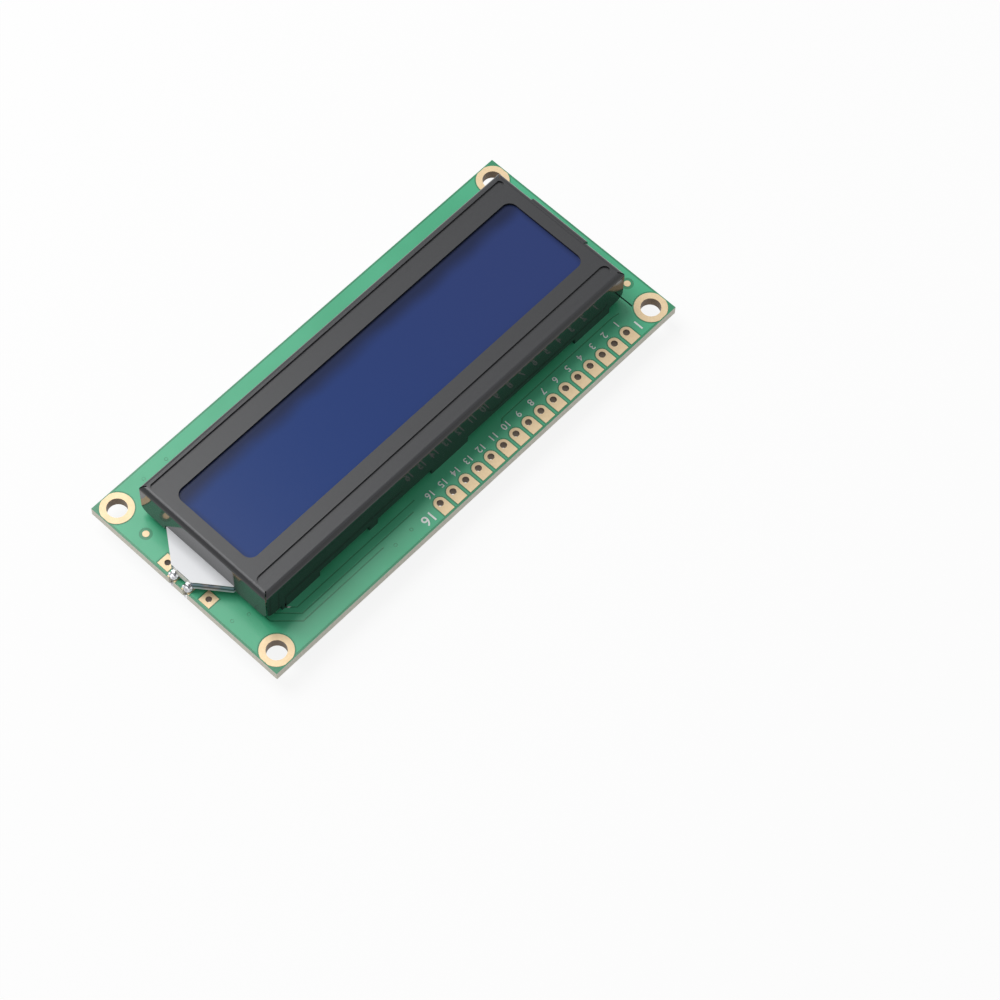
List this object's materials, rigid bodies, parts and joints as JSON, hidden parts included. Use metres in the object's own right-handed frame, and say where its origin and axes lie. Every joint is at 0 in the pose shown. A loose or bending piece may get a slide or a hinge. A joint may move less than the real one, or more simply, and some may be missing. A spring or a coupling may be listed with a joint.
{
  "type": "character lcd module",
  "caption": "Side-lit character display on a green driver board: glass cell clamped by a black folded bezel with twisted tabs, header holes along one edge.",
  "frame": {"origin": "centre of the board's length and width, on the plane of the tips of the six twisted tabs on which the module rests", "axes": "+X along the board's long side, to the right when the display is read upright; +Y across the board to the edge with the header holes; +Z out of the display"},
  "size_m": [0.08, 0.036, 0.0115],
  "materials": {
    "board_laminate": "green solder mask over glass-epoxy laminate, satin",
    "gold_plating": "matt immersion gold over copper",
    "solder": "bright tin solder",
    "resistor_body": "black glazed ceramic with tinned end caps",
    "silicon": "polished grey silicon",
    "resin_cap": "charcoal epoxy, satin",
    "zebra_rubber": "layered black and grey silicone",
    "lead_metal": "tinned steel strip",
    "bezel_steel": "black lacquered sheet steel, satin face and glossy walls",
    "polarizer": "smooth dark blue film",
    "cell_glass": "clear float glass",
    "seal_resin": "cream epoxy seal",
    "liquid_crystal": "deep blue liquid layer",
    "white_film": "white film",
    "acrylic": "clear acrylic",
    "led_body": "white moulded lamp body"
  },
  "bodies": {
    "root": {"circuit_board": "board_laminate", "mounting_rings": "gold_plating", "header_pads": "gold_plating", "display_contacts": "gold_plating", "bezel_tab_lands": "gold_plating", "backlight_terminals": "gold_plating", "backlight_pin_eyelets": "gold_plating", "led_lands": "gold_plating", "fiducial_marks": "gold_plating", "resistor_lands": "gold_plating", "resistor_solder": "solder", "jumper_lands": "gold_plating", "jumper_solder": "solder", "spare_chip_lands": "gold_plating", "spare_capacitor_lands": "gold_plating", "resistor_1": "resistor_body", "resistor_2": "resistor_body", "resistor_3": "resistor_body", "resistor_4": "resistor_body", "resistor_5": "resistor_body", "resistor_6": "resistor_body", "resistor_7": "resistor_body", "resistor_8": "resistor_body", "controller_die": "silicon", "controller_cap": "resin_cap", "driver_die": "silicon", "driver_cap": "resin_cap", "bezel": "bezel_steel", "front_polarizer": "polarizer", "front_glass": "cell_glass", "cell_seal": "seal_resin", "liquid_crystal": "liquid_crystal", "rear_glass": "cell_glass", "rear_polarizer": "polarizer", "header_side_zebra_strip": "zebra_rubber", "far_side_zebra_strip": "zebra_rubber", "diffuser_film": "white_film", "light_guide": "acrylic", "reflector_film": "white_film", "lug_top_film": "white_film", "lug_under_film": "white_film", "backlight_led": "led_body", "led_lead_a": "lead_metal", "led_lead_b": "lead_metal", "led_solder": "solder"}
  },
  "joints": []
}
